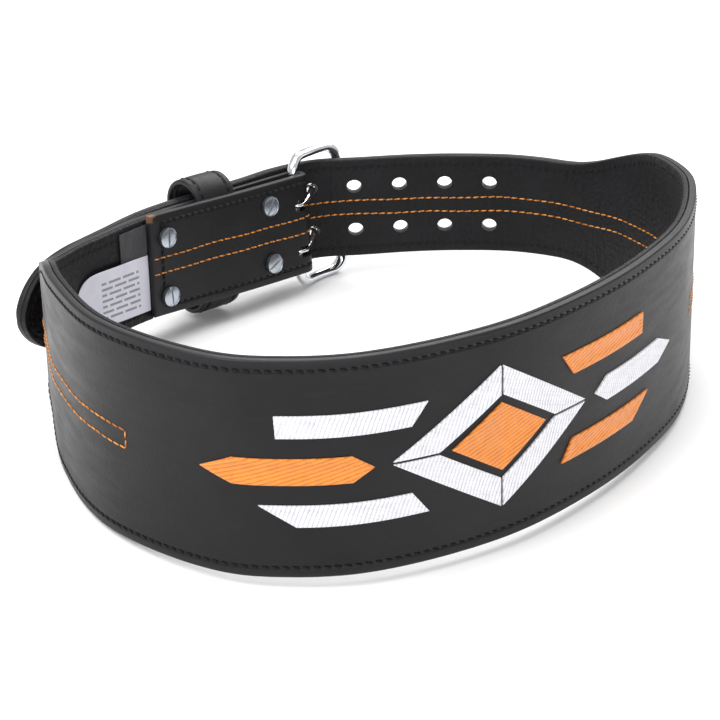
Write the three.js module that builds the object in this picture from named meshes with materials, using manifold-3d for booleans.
// A leather weightlifting belt, fastened, with a double-prong roller buckle.
// Millimetres, +Z up. The belt is drawn upright round its loop, then tipped back to where it rests.
import * as THREE from 'three';
import { mergeVertices } from 'three/addons/utils/BufferGeometryUtils.js';
import Module from 'manifold-3d';

const wasm = await Module();
wasm.setup();

// The loop, measured to the seam between the two leathers
const loopWidth = 316;
const loopDepth = 334;
const tailLength = 176;
const tipLength = 43;
const tipFullness = 1.9;
const tailStandOff = 11.6;
const panelLength = 106.5;
const panelSkew = 2;
const buckleDip = 2.8;
const buckleLean = 5;
const leanReach = 150;

// Leather
const beltWidth = 100;
const strapWidth = 55;
const wideLength = 450;
const taperLength = 115;
const outerThickness = 3.6;
const liningThickness = 2.7;
const edgeRound = 1.1;
const seamRound = 0.4;
const leatherGap = 0.3;
const liningOverlap = 14;
const sectionStep = 15;
const searchStep = 0.25;
const foldSteps = 8;

// Holes
const holeDiameter = 7.2;
const holeStretch = 1.15;
const holePitch = 25;
const holeRowSpacing = 24.5;
const holesBeforeBuckle = 4;
const holesPastBuckle = 3;
const prongReach = 17;
const holeSides = 12;
const hiddenSides = 8;
const cutTolerance = 0.02;
const prongRowSpacing = 25.8;
const prongDrop = 2.3;
const prongSlotWidth = 6.4;
const slotBack = 3;

// Buckle
const buckleHeight = 75.5;
const buckleReach = 38;
const buckleLift = 7;
const barDiameter = 6.2;
const legThickness = 5;
const cornerRadius = 9;
const legBow = 3;
const cornerStep = 18;
const wireSides = 10;
const rollerDiameter = 9.6;
const prongDiameter = 4;
const eyeThickness = 2.6;
const eyeSweep = 285;
const prongTip = 5;
const prongSteps = 26;
const prongSides = 8;
const metalGap = 0.3;

// Screws and posts
const screwRowSpacing = 32;
const screwInset = 10.5;
const screwNearBuckle = 25;
const headDiameter = 10.6;
const headHeight = 2.2;
const slotWidth = 1.1;
const slotDepth = 0.8;
const screwDiameter = 2.6;
const postDiameter = 4.6;
const postBore = 3.2;
const postHeadDiameter = 10;
const postHeadThickness = 1.2;
const screwLength = 6;
const screwToolDepth = 14;
const slotTurns = [-58, -28, 90, 84];

// Keeper loop
const keeperWidth = 25.5;
const keeperThickness = 2.4;
const keeperStart = 43;
const keeperRise = 8;
const keeperSlack = 9;

// How near the floor a point is looked at as a foot, and how far one may pass below
const footBand = 1.2;
const flatness = 0.01;

// Labels
const labelThickness = 0.5;
const careLabelHeight = 30;
const careLabelLength = 54;
const careLabelCorner = 9;
const careLabelTop = 8.4;
const careLabelTilt = 4.5;
const careLabelStandOff = 2;
const sizeLabelHeight = 16;
const sizeLabelLength = 19.5;
const sizeLabelTop = 25;

const midHeight = beltWidth / 2;
const stackTail = outerThickness + postHeadThickness + liningThickness + 3 * leatherGap;
const foldRadius = barDiameter / 2 + metalGap;

// The seam line from the buckle's bar round the left, front, right and back to the buckle again
const loopRows = [
  { across: -0.133, back: 0.438, dip: 1 }, { across: -0.249, back: 0.328, dip: 0.48 },
  { across: -0.306, back: 0.276, dip: 0.24 }, { across: -0.377, back: 0.204, dip: 0 },
  { across: -0.432, back: 0.135, dip: 0 }, { across: -0.466, back: 0.088, dip: 0 },
  { across: -0.489, back: 0.034, dip: 0 }, { across: -0.491, back: -0.017, dip: 0 },
  { across: -0.481, back: -0.067, dip: 0 }, { across: -0.450, back: -0.195, dip: 0 },
  { across: -0.369, back: -0.357, dip: 0 }, { across: -0.214, back: -0.480, dip: 0 },
  { across: -0.120, back: -0.500, dip: 0 }, { across: -0.013, back: -0.491, dip: 0 },
  { across: 0.162, back: -0.410, dip: 0 }, { across: 0.290, back: -0.297, dip: 0 },
  { across: 0.388, back: -0.173, dip: 0 }, { across: 0.463, back: -0.034, dip: 0 },
  { across: 0.500, back: 0.132, dip: 0 }, { across: 0.494, back: 0.215, dip: 0 },
  { across: 0.465, back: 0.307, dip: 0.15 }, { across: 0.418, back: 0.382, dip: 0.25 },
  { across: 0.342, back: 0.448, dip: 0.35 }, { across: 0.259, back: 0.486, dip: 0.35 },
  { across: 0.160, back: 0.500, dip: 0.35 }, { across: 0.074, back: 0.500, dip: 0.35 },
  { across: -0.016, back: 0.494, dip: 0.5 }, { across: -0.090, back: 0.489, dip: 0.6 },
];

// How far the tail stands off the layer under it, as shares of tailLength, tailStandOff and buckleDip
const tailRows = [
  { along: 0, out: 0, dip: 0.6 }, { along: 0.14, out: 0, dip: 0.5 }, { along: 0.35, out: 0, dip: 0.3 },
  { along: 0.55, out: 0.04, dip: 0.4 }, { along: 0.70, out: 0.04, dip: 1 }, { along: 0.83, out: 0.22, dip: 1.6 },
  { along: 0.92, out: 0.6, dip: 1.9 }, { along: 1, out: 1, dip: 2.1 },
];

// How the width falls from beltWidth to strapWidth along the taper
const taperRows = [
  { along: 0, fall: 0 }, { along: 0.14, fall: 0.03 }, { along: 0.40, fall: 0.13 }, { along: 0.55, fall: 0.32 },
  { along: 0.68, fall: 0.56 }, { along: 0.82, fall: 0.83 }, { along: 0.92, fall: 0.96 }, { along: 1, fall: 1 },
];

// The shares of tipLength at which the tip has a station
const tipShares = [0.19, 0.37, 0.54, 0.69, 0.82, 0.91, 0.97, 0.999];

// The share of the loop, from the bar, at which the belt's middle lies
const middleShare = 0.514;

// A smooth value from a table, by its first column
function fromRows(rows, keyIn, keyOut, value) {
  const last = rows.length - 1;
  if (value <= rows[0][keyIn]) return rows[0][keyOut];
  if (value >= rows[last][keyIn]) return rows[last][keyOut];
  const i = rows.findIndex((row) => row[keyIn] >= value) - 1;
  const span = rows[i + 1][keyIn] - rows[i][keyIn];
  const slope = (j) => {
    const before = rows[Math.max(0, j - 1)];
    const after = rows[Math.min(last, j + 1)];
    return (after[keyOut] - before[keyOut]) / (after[keyIn] - before[keyIn]);
  };
  const u = (value - rows[i][keyIn]) / span;
  const startWeight = 2 * u ** 3 - 3 * u ** 2 + 1;
  const startPull = u ** 3 - 2 * u ** 2 + u;
  const endPull = u ** 3 - u ** 2;
  return startWeight * rows[i][keyOut] + (1 - startWeight) * rows[i + 1][keyOut]
    + span * (startPull * slope(i) + endPull * slope(i + 1));
}

const loopPoints = loopRows.map((row) => (
  new THREE.Vector3(row.across * loopWidth, row.back * loopDepth, midHeight - row.dip * buckleDip)
));

// Near the buckle the belt's top leans outward
function leanAt(point) {
  const fade = THREE.MathUtils.smoothstep(point.distanceTo(loopPoints[0]), 0, leanReach);
  return THREE.MathUtils.degToRad(buckleLean) * (1 - fade);
}

// A line along the belt, measured along its length. Its outside is on the right of its direction.
class BeltLine {
  constructor(points) {
    this.curve = new THREE.CatmullRomCurve3(points, false, 'centripetal');
    this.curve.arcLengthDivisions = points.length * 40;
    this.length = this.curve.getLength();
  }

  at(distance) {
    const share = THREE.MathUtils.clamp(distance / this.length, 0, 1);
    const point = this.curve.getPointAt(share);
    const along = this.curve.getTangentAt(share).normalize();
    const out = new THREE.Vector3(along.y, -along.x, 0).normalize();
    const up = out.clone().cross(along);
    const lean = leanAt(point);
    return { point, along, out: out.applyAxisAngle(along, lean), up: up.applyAxisAngle(along, lean) };
  }

  place(distance, outward, rise) {
    const { point, out, up } = this.at(distance);
    return point.addScaledVector(out, outward).addScaledVector(up, rise);
  }

  nearest(target, from) {
    let best = from;
    for (let d = from; d < this.length; d += searchStep) {
      if (this.at(d).point.distanceTo(target) < this.at(best).point.distanceTo(target)) best = d;
    }
    return best;
  }
}

// The loop alone, then the whole line with the tail laid over its own start
const loopLine = new BeltLine(loopPoints);
const tailPoints = tailRows.map((row) => {
  const outward = stackTail + row.out * tailStandOff;
  return loopLine.place(row.along * tailLength, outward, 0).setZ(midHeight - row.dip * buckleDip);
});
const beltLine = new BeltLine([...loopPoints, ...tailPoints]);
const loopStart = loopLine.at(0);
const barCentre = loopLine.place(0, -foldRadius, 0);
const tailAtBar = beltLine.nearest(barCentre, loopLine.length - buckleReach);
const middle = middleShare * loopLine.length;

function beltWidthAt(distance) {
  const past = Math.abs(distance - middle) - wideLength / 2;
  const fall = fromRows(taperRows, 'along', 'fall', past / taperLength);
  return beltWidth + (strapWidth - beltWidth) * fall;
}

// The tail's tip is a blunt round
function tipShare(distance) {
  const past = Math.max(0, (distance - beltLine.length + tipLength) / tipLength);
  return (1 - past ** tipFullness) ** (1 / tipFullness);
}

function panelGapAt(distance) {
  const atEnd = liningThickness + 2 * leatherGap;
  return THREE.MathUtils.lerp(2 * foldRadius, atEnd, distance / panelLength);
}

function panelSkewAt(distance) {
  return panelSkew * (distance / panelLength) ** 2;
}

function evenly(from, to, step) {
  const count = Math.ceil(Math.abs(to - from) / step);
  return Array.from({ length: count + 1 }, (_, i) => from + ((to - from) * i) / count);
}

// Stations carry a place, the outward and upward directions there and the leather's width
function beltStations(from) {
  const full = evenly(0, beltLine.length - tipLength, sectionStep).filter((distance) => distance >= from);
  const tip = tipShares.map((share) => beltLine.length - tipLength * (1 - share));
  return [...full, ...tip].map((distance) => {
    return { ...beltLine.at(distance), width: beltWidthAt(distance) * tipShare(distance) };
  });
}

function panelStations() {
  return evenly(panelLength, 0, sectionStep).map((distance) => {
    const { out, up } = loopLine.at(distance);
    const point = loopLine.place(distance, -panelGapAt(distance), panelSkewAt(distance));
    return { point, out: out.negate(), up, width: strapWidth };
  });
}

function foldStations() {
  return evenly(-90, 90, 180 / foldSteps).slice(1, -1).map((degrees) => {
    const out = loopStart.out.clone().multiplyScalar(Math.sin(THREE.MathUtils.degToRad(degrees)))
      .addScaledVector(loopStart.along, -Math.cos(THREE.MathUtils.degToRad(degrees)));
    const point = barCentre.clone().addScaledVector(out, foldRadius);
    return { point, out, up: loopStart.up, width: strapWidth };
  });
}

// Joins rings of points into one closed skin. Both sides are split alike, so twisted layers keep their gap.
function loft(rings, closed) {
  const size = rings[0].length;
  const positions = rings.flat().flatMap((point) => point.toArray());
  const index = [];
  const links = closed ? rings.length : rings.length - 1;
  for (let i = 0; i < links; i += 1) {
    for (let j = 0; j < size; j += 1) {
      const a = i * size + j;
      const b = i * size + ((j + 1) % size);
      const c = ((i + 1) % rings.length) * size + ((j + 1) % size);
      const d = ((i + 1) % rings.length) * size + j;
      const facesOut = j >= size / 2;
      index.push(...(facesOut ? [a, b, d, b, c, d] : [a, b, c, a, c, d]));
    }
  }
  if (!closed) {
    const last = (rings.length - 1) * size;
    for (let j = 1; j < size - 1; j += 1) {
      index.push(0, j + 1, j);
      index.push(last, last + j, last + j + 1);
    }
  }
  const geometry = new THREE.BufferGeometry();
  geometry.setAttribute('position', new THREE.Float32BufferAttribute(positions, 3));
  geometry.setIndex(index);
  return geometry;
}

// A leather layer from inner to outer, with its corners broken
function leatherLayer(stations, inner, outer, innerRound, outerRound) {
  return loft(stations.map(({ point, out, up, width }) => {
    const low = -width / 2;
    const high = width / 2;
    const corners = [
      [inner + innerRound, low], [inner, low + innerRound],
      [inner, high - innerRound], [inner + innerRound, high],
      [outer - outerRound, high], [outer, high - outerRound],
      [outer, low + outerRound], [outer - outerRound, low],
    ];
    return corners.map(([outward, rise]) => (
      point.clone().addScaledVector(out, outward).addScaledVector(up, rise)
    ));
  }), false);
}

// Cuts with manifold-3d
function toManifold(geometry) {
  const bare = geometry.clone();
  bare.deleteAttribute('normal');
  bare.deleteAttribute('uv');
  const merged = mergeVertices(bare, 1e-4);
  const vertProperties = Float32Array.from(merged.attributes.position.array);
  const triVerts = Uint32Array.from(merged.index.array);
  return new wasm.Manifold(new wasm.Mesh({ numProp: 3, vertProperties, triVerts }));
}

function fromManifold(solid) {
  const { vertProperties, triVerts } = solid.getMesh();
  const geometry = new THREE.BufferGeometry();
  geometry.setAttribute('position', new THREE.Float32BufferAttribute(vertProperties, 3));
  geometry.setIndex(Array.from(triVerts));
  return geometry;
}

function cut(geometry, tools) {
  const solid = tools.reduce((rest, tool) => rest.subtract(toManifold(tool)), toManifold(geometry));
  return fromManifold(solid.simplify(cutTolerance));
}

// A turning matrix whose X, Y and Z run along, outward and down at a place
function frameAt(origin, { along, out, up }) {
  return new THREE.Matrix4().makeBasis(along, out, up.clone().negate()).setPosition(origin);
}

// A round tool through the leather at one place on a line, its length along the outward direction
function holeTool(line, distance, rise, diameter, stretch, depth, sides) {
  const tool = new THREE.CylinderGeometry(diameter / 2, diameter / 2, depth, sides);
  return tool.scale(stretch, 1, 1).applyMatrix4(frameAt(line.place(distance, 0, rise), line.at(distance)));
}

const holeRises = [holeRowSpacing / 2, -holeRowSpacing / 2];
const prongRises = [prongRowSpacing / 2 - prongDrop, -prongRowSpacing / 2 - prongDrop];
const prongHole = tailAtBar - prongReach;
const holeDistances = [];
for (let i = -holesBeforeBuckle; i <= holesPastBuckle; i += 1) holeDistances.push(prongHole + i * holePitch);

const holeTools = holeDistances.flatMap((distance) => holeRises.map((rise) => (
  holeTool(beltLine, distance, rise, holeDiameter, holeStretch, 4 * outerThickness, holeSides)
)));

const screwPlaces = [screwNearBuckle, panelLength - screwInset].flatMap((distance, i) => (
  [1, -1].map((side) => ({
    name: `${side > 0 ? 'upper' : 'lower'}_${i ? 'left' : 'right'}`,
    distance,
    rise: (side * screwRowSpacing) / 2,
  }))
));

const screwTools = screwPlaces.map(({ distance, rise }) => (
  holeTool(loopLine, distance, rise, postDiameter + 3 * metalGap, 1, 2 * screwToolDepth, hiddenSides)
));

// The slot for a prong runs round the fold, from the panel's face to the strap's
const slotTools = prongRises.flatMap((rise) => {
  const depth = 2 * (foldRadius + outerThickness + 1);
  const reach = slotBack + depth / 2;
  const box = new THREE.BoxGeometry(reach, depth, prongSlotWidth).translate(slotBack - reach / 2, 0, 0);
  const end = new THREE.CylinderGeometry(prongSlotWidth / 2, prongSlotWidth / 2, depth, holeSides);
  end.translate(slotBack, 0, 0);
  const place = frameAt(loopLine.place(0, -foldRadius, rise), loopStart);
  return [box.applyMatrix4(place), end.applyMatrix4(place)];
});

function outerLeather() {
  const stations = [...panelStations(), ...foldStations(), ...beltStations(0)];
  const layer = leatherLayer(stations, 0, outerThickness, seamRound, edgeRound);
  return cut(layer, [...holeTools, ...screwTools, ...slotTools]);
}

function liningLeather() {
  const stations = beltStations(panelLength - liningOverlap);
  const layer = leatherLayer(stations, -leatherGap - liningThickness, -leatherGap, edgeRound, seamRound);
  return cut(layer, [...holeTools, ...screwTools]);
}

// The loop that holds the tail down: a band with its inner leg between panel and strap
function keeperLoop() {
  const inner = -panelGapAt(keeperStart + keeperWidth / 2) / 2;
  const outer = stackTail + outerThickness + leatherGap + keeperThickness / 2 + keeperSlack;
  const radius = (outer - inner) / 2;
  const halfHeight = strapWidth / 2 + keeperRise - radius;
  const outline = (grow) => {
    const path = new THREE.Shape();
    path.absarc((inner + outer) / 2, halfHeight, radius + grow, 0, Math.PI, false);
    path.absarc((inner + outer) / 2, -halfHeight, radius + grow, Math.PI, 2 * Math.PI, false);
    path.closePath();
    return path;
  };
  const shape = outline(keeperThickness / 2);
  shape.holes.push(outline(-keeperThickness / 2));
  const band = new THREE.ExtrudeGeometry(shape, { depth: keeperWidth, bevelEnabled: false, curveSegments: 8 });
  const { point, along, out, up } = loopLine.at(keeperStart + keeperWidth);
  return band.applyMatrix4(new THREE.Matrix4().makeBasis(out, up, along.negate()).setPosition(point));
}

// Buckle directions: across it from bar to roller, and out of its plane
const lift = THREE.MathUtils.degToRad(buckleLift);
const buckleAcross = loopStart.along.clone().negate().applyAxisAngle(loopStart.up, lift);
const buckleOut = loopStart.out.clone().applyAxisAngle(loopStart.up, lift);
const rollerCentre = barCentre.clone().addScaledVector(buckleAcross, buckleReach);
const frameHalf = (buckleHeight - legThickness) / 2;

// The frame is one wire round a rectangle with round corners
function buckleFrame() {
  const corners = [
    { u: cornerRadius, v: -frameHalf + cornerRadius, turn: 180 },
    { u: buckleReach - cornerRadius, v: -frameHalf + cornerRadius, turn: 270 },
    { u: buckleReach - cornerRadius, v: frameHalf - cornerRadius, turn: 0 },
    { u: cornerRadius, v: frameHalf - cornerRadius, turn: 90 },
  ];
  const stations = corners.flatMap(({ u, v, turn }) => evenly(turn, turn + 90, cornerStep).map((degrees) => {
    const angle = THREE.MathUtils.degToRad(degrees);
    return { u: u + cornerRadius * Math.cos(angle), v: v + cornerRadius * Math.sin(angle), angle };
  }));
  return loft(stations.map(({ u, v, angle }) => evenly(0, 360, 360 / wireSides).slice(0, -1).map((degrees) => {
    const turn = THREE.MathUtils.degToRad(degrees);
    const upright = Math.abs(Math.cos(angle));
    const radial = (THREE.MathUtils.lerp(legThickness, barDiameter, upright) / 2) * Math.cos(turn);
    const along = u + radial * Math.cos(angle);
    const normal = (barDiameter / 2) * Math.sin(turn) + legBow * Math.sin((Math.PI * u) / buckleReach);
    return barCentre.clone().addScaledVector(buckleAcross, along).addScaledVector(buckleOut, normal)
      .addScaledVector(loopStart.up, v + radial * Math.sin(angle));
  })), true);
}

function buckleRoller() {
  const bore = barDiameter / 2 + metalGap;
  const outside = rollerDiameter / 2;
  const half = frameHalf - cornerRadius - metalGap;
  const profile = [
    [bore, -half], [outside - 0.5, -half], [outside, 0.5 - half], [outside, half - 0.5], [outside - 0.5, half],
    [bore, half], [bore, -half],
  ];
  const tube = new THREE.LatheGeometry(profile.map(([x, y]) => new THREE.Vector2(x, y)), 16);
  const place = new THREE.Matrix4().makeBasis(buckleOut, loopStart.up, buckleAcross);
  return tube.applyMatrix4(place.setPosition(rollerCentre));
}

// A prong: an eye round the bar, a shank through the tail's hole, and a tip on the roller
function prong(eyeRise, holeRise) {
  const eyeRadius = barDiameter / 2 + metalGap + eyeThickness / 2;
  const eyeCentre = loopLine.place(0, -foldRadius, eyeRise);
  const hole = beltLine.at(prongHole);
  const holeInside = beltLine.place(prongHole, -liningThickness - leatherGap, holeRise);
  const holeOutside = beltLine.place(prongHole, outerThickness + 1, holeRise);
  const toHole = holeInside.clone().sub(eyeCentre);
  const ahead = -toHole.dot(loopStart.along);
  const outward = toHole.dot(loopStart.out);
  const leave = Math.atan2(outward, ahead) - Math.acos(eyeRadius / Math.hypot(ahead, outward));
  const eye = evenly(leave - THREE.MathUtils.degToRad(eyeSweep), leave, 0.4).map((angle) => (
    eyeCentre.clone().addScaledVector(loopStart.along, -eyeRadius * Math.cos(angle))
      .addScaledVector(loopStart.out, eyeRadius * Math.sin(angle))
  ));
  const overRoller = rollerDiameter / 2 + metalGap + prongDiameter / 2;
  const onRoller = rollerCentre.clone().addScaledVector(loopStart.up, holeOutside.z - rollerCentre.z)
    .addScaledVector(hole.out, overRoller);
  const beforeRoller = onRoller.clone().addScaledVector(hole.out, -0.14 * overRoller)
    .addScaledVector(hole.along, overRoller / 2);
  const tip = onRoller.clone().addScaledVector(hole.along, -prongTip);
  const line = new THREE.CatmullRomCurve3([...eye, holeInside, holeOutside, beforeRoller, onRoller, tip]);
  line.arcLengthDivisions = 800;
  const eyeShare = (eyeRadius * THREE.MathUtils.degToRad(eyeSweep)) / line.getLength();
  return loft(evenly(0, 1, 1 / prongSteps).map((share) => {
    const centre = line.getPointAt(share);
    const along = line.getTangentAt(share).normalize();
    const side = new THREE.Vector3(along.y, -along.x, 0).normalize();
    const up = side.clone().cross(along);
    const grown = THREE.MathUtils.smoothstep(share, eyeShare, eyeShare + 0.15);
    const rounded = share > 0.97 ? 0.7 : 1;
    const thick = (THREE.MathUtils.lerp(eyeThickness, prongDiameter, grown) / 2) * rounded;
    const tall = (prongDiameter / 2) * rounded;
    return evenly(0, 360, 360 / prongSides).slice(0, -1).map((degrees) => {
      const turn = THREE.MathUtils.degToRad(degrees);
      return centre.clone().addScaledVector(side, thick * Math.cos(turn))
        .addScaledVector(up, -tall * Math.sin(turn));
    });
  }), false);
}

// A turned piece from a profile of radius and height, its axis outward at a place on the loop
function turned(profile, { distance, rise }, sides) {
  const body = new THREE.LatheGeometry(profile.map(([x, y]) => new THREE.Vector2(x, y)), sides);
  return body.applyMatrix4(frameAt(loopLine.place(distance, 0, rise), loopLine.at(distance)));
}

function panelFaceAt(distance) {
  return -panelGapAt(distance) - outerThickness;
}

function screw(place, turn) {
  const seat = panelFaceAt(place.distance) - leatherGap;
  const radius = headDiameter / 2;
  const profile = [
    [0, seat - headHeight], [radius * 0.5, seat - headHeight * 0.88], [radius * 0.85, seat - headHeight * 0.52],
    [radius, seat - headHeight * 0.2], [radius, seat], [screwDiameter / 2, seat],
    [screwDiameter / 2, seat + screwLength], [0, seat + screwLength],
  ];
  const body = turned(profile, place, 16);
  const slot = new THREE.BoxGeometry(2 * headDiameter, slotDepth * 2, slotWidth);
  slot.rotateY(THREE.MathUtils.degToRad(turn));
  const slotPlace = loopLine.place(place.distance, seat - headHeight, place.rise);
  return cut(body, [slot.applyMatrix4(frameAt(slotPlace, loopLine.at(place.distance)))]);
}

// A post: a hollow barrel closed by a flat head on the strap's outside
function post(place) {
  const top = outerThickness + leatherGap;
  const bottom = panelFaceAt(place.distance) + 0.5;
  const profile = [
    [0, top - 0.6], [postBore / 2, top - 0.6], [postBore / 2, bottom], [postDiameter / 2, bottom],
    [postDiameter / 2, top], [postHeadDiameter / 2, top], [postHeadDiameter / 2, top + postHeadThickness - 0.4],
    [postHeadDiameter / 2 - 0.4, top + postHeadThickness], [0, top + postHeadThickness],
  ];
  return turned(profile, place, 10);
}

// A thin label that follows the inside wall from the panel's cut end
function label(shares, length, low, high, standOff) {
  return loft(shares.map((share) => {
    const distance = panelLength + leatherGap + share * length;
    const outside = -2 * leatherGap - liningThickness - standOff(share);
    const inside = outside - labelThickness;
    return [
      loopLine.place(distance, inside, low(share)), loopLine.place(distance, inside, high(share)),
      loopLine.place(distance, outside, high(share)), loopLine.place(distance, outside, low(share)),
    ];
  }), false);
}

const careShares = [0, 0.2, 0.4, 0.6, 0.75, 0.87, 0.95, 1];
const careLow = (share) => careLabelTop - careLabelHeight + careLabelTilt * share;
const careHigh = (share) => careLabelTop + careLabelTilt * share - careLabelCorner * share ** 9;
const careOut = (share) => careLabelStandOff * Math.sin(Math.PI * share);
const careLabel = label(careShares, careLabelLength, careLow, careHigh, careOut);
const sizeShares = [0, 0.33, 0.67, 1];
const sizeLow = () => sizeLabelTop - sizeLabelHeight;
const sizeLabel = label(sizeShares, sizeLabelLength, sizeLow, () => sizeLabelTop, () => 0);

// Materials
const finish = (color, roughness, metalness) => new THREE.MeshStandardMaterial({ color, roughness, metalness });
const blackLeather = finish(0x1d1c1f, 0.55, 0);
const liningGrain = finish(0x19181b, 0.7, 0);
const chrome = finish(0xd8dadd, 0.12, 1);
const nickel = finish(0xb4bac0, 0.3, 1);
const whiteSatin = finish(0xd9d8e0, 0.6, 0);
const blackTape = finish(0x131317, 0.8, 0);

const belt = new THREE.Group();

function addPiece(name, geometry, material) {
  const mesh = new THREE.Mesh(geometry, material);
  mesh.name = name;
  belt.add(mesh);
}

addPiece('outer_leather', outerLeather(), blackLeather);
addPiece('lining_leather', liningLeather(), liningGrain);
addPiece('keeper_loop', keeperLoop(), blackLeather);
addPiece('buckle_frame', buckleFrame(), chrome);
addPiece('buckle_roller', buckleRoller(), chrome);
addPiece('prong_upper', prong(prongRises[0], holeRises[0]), chrome);
addPiece('prong_lower', prong(prongRises[1], holeRises[1]), chrome);
screwPlaces.forEach((place, i) => {
  addPiece(`screw_${place.name}`, screw(place, slotTurns[i]), nickel);
  addPiece(`post_${place.name}`, post(place), nickel);
});
addPiece('care_label', careLabel, whiteSatin);
addPiece('size_label', sizeLabel, blackTape);

// The belt rests on two places of its bottom edge and the heel of the buckle's frame
function verticesOf(name) {
  const { position } = belt.getObjectByName(name).geometry.attributes;
  return Array.from({ length: position.count }, (_, i) => new THREE.Vector3().fromBufferAttribute(position, i));
}

function restingNormal() {
  const feet = verticesOf('outer_leather').filter((point) => point.z < footBand);
  const framePoints = verticesOf('buckle_frame');
  const heelTop = Math.min(...framePoints.map((point) => point.z)) + footBand;
  const heels = framePoints.filter((point) => point.z < heelTop);
  const all = [...feet, ...heels];
  let best = new THREE.Vector3();
  heels.forEach((heel) => feet.forEach((foot, i) => feet.slice(i + 1).forEach((other) => {
    const normal = foot.clone().sub(heel).cross(other.clone().sub(heel)).normalize();
    if (normal.z < 0) normal.negate();
    if (normal.z <= best.z) return;
    const level = normal.dot(heel) - flatness;
    if (all.every((point) => point.dot(normal) > level)) best = normal;
  })));
  return best;
}

belt.quaternion.setFromUnitVectors(restingNormal(), new THREE.Vector3(0, 0, 1));
const box = new THREE.Box3().setFromObject(belt, true);
const centre = box.getCenter(new THREE.Vector3());
belt.position.set(-centre.x, -centre.y, -box.min.z);

export default belt;
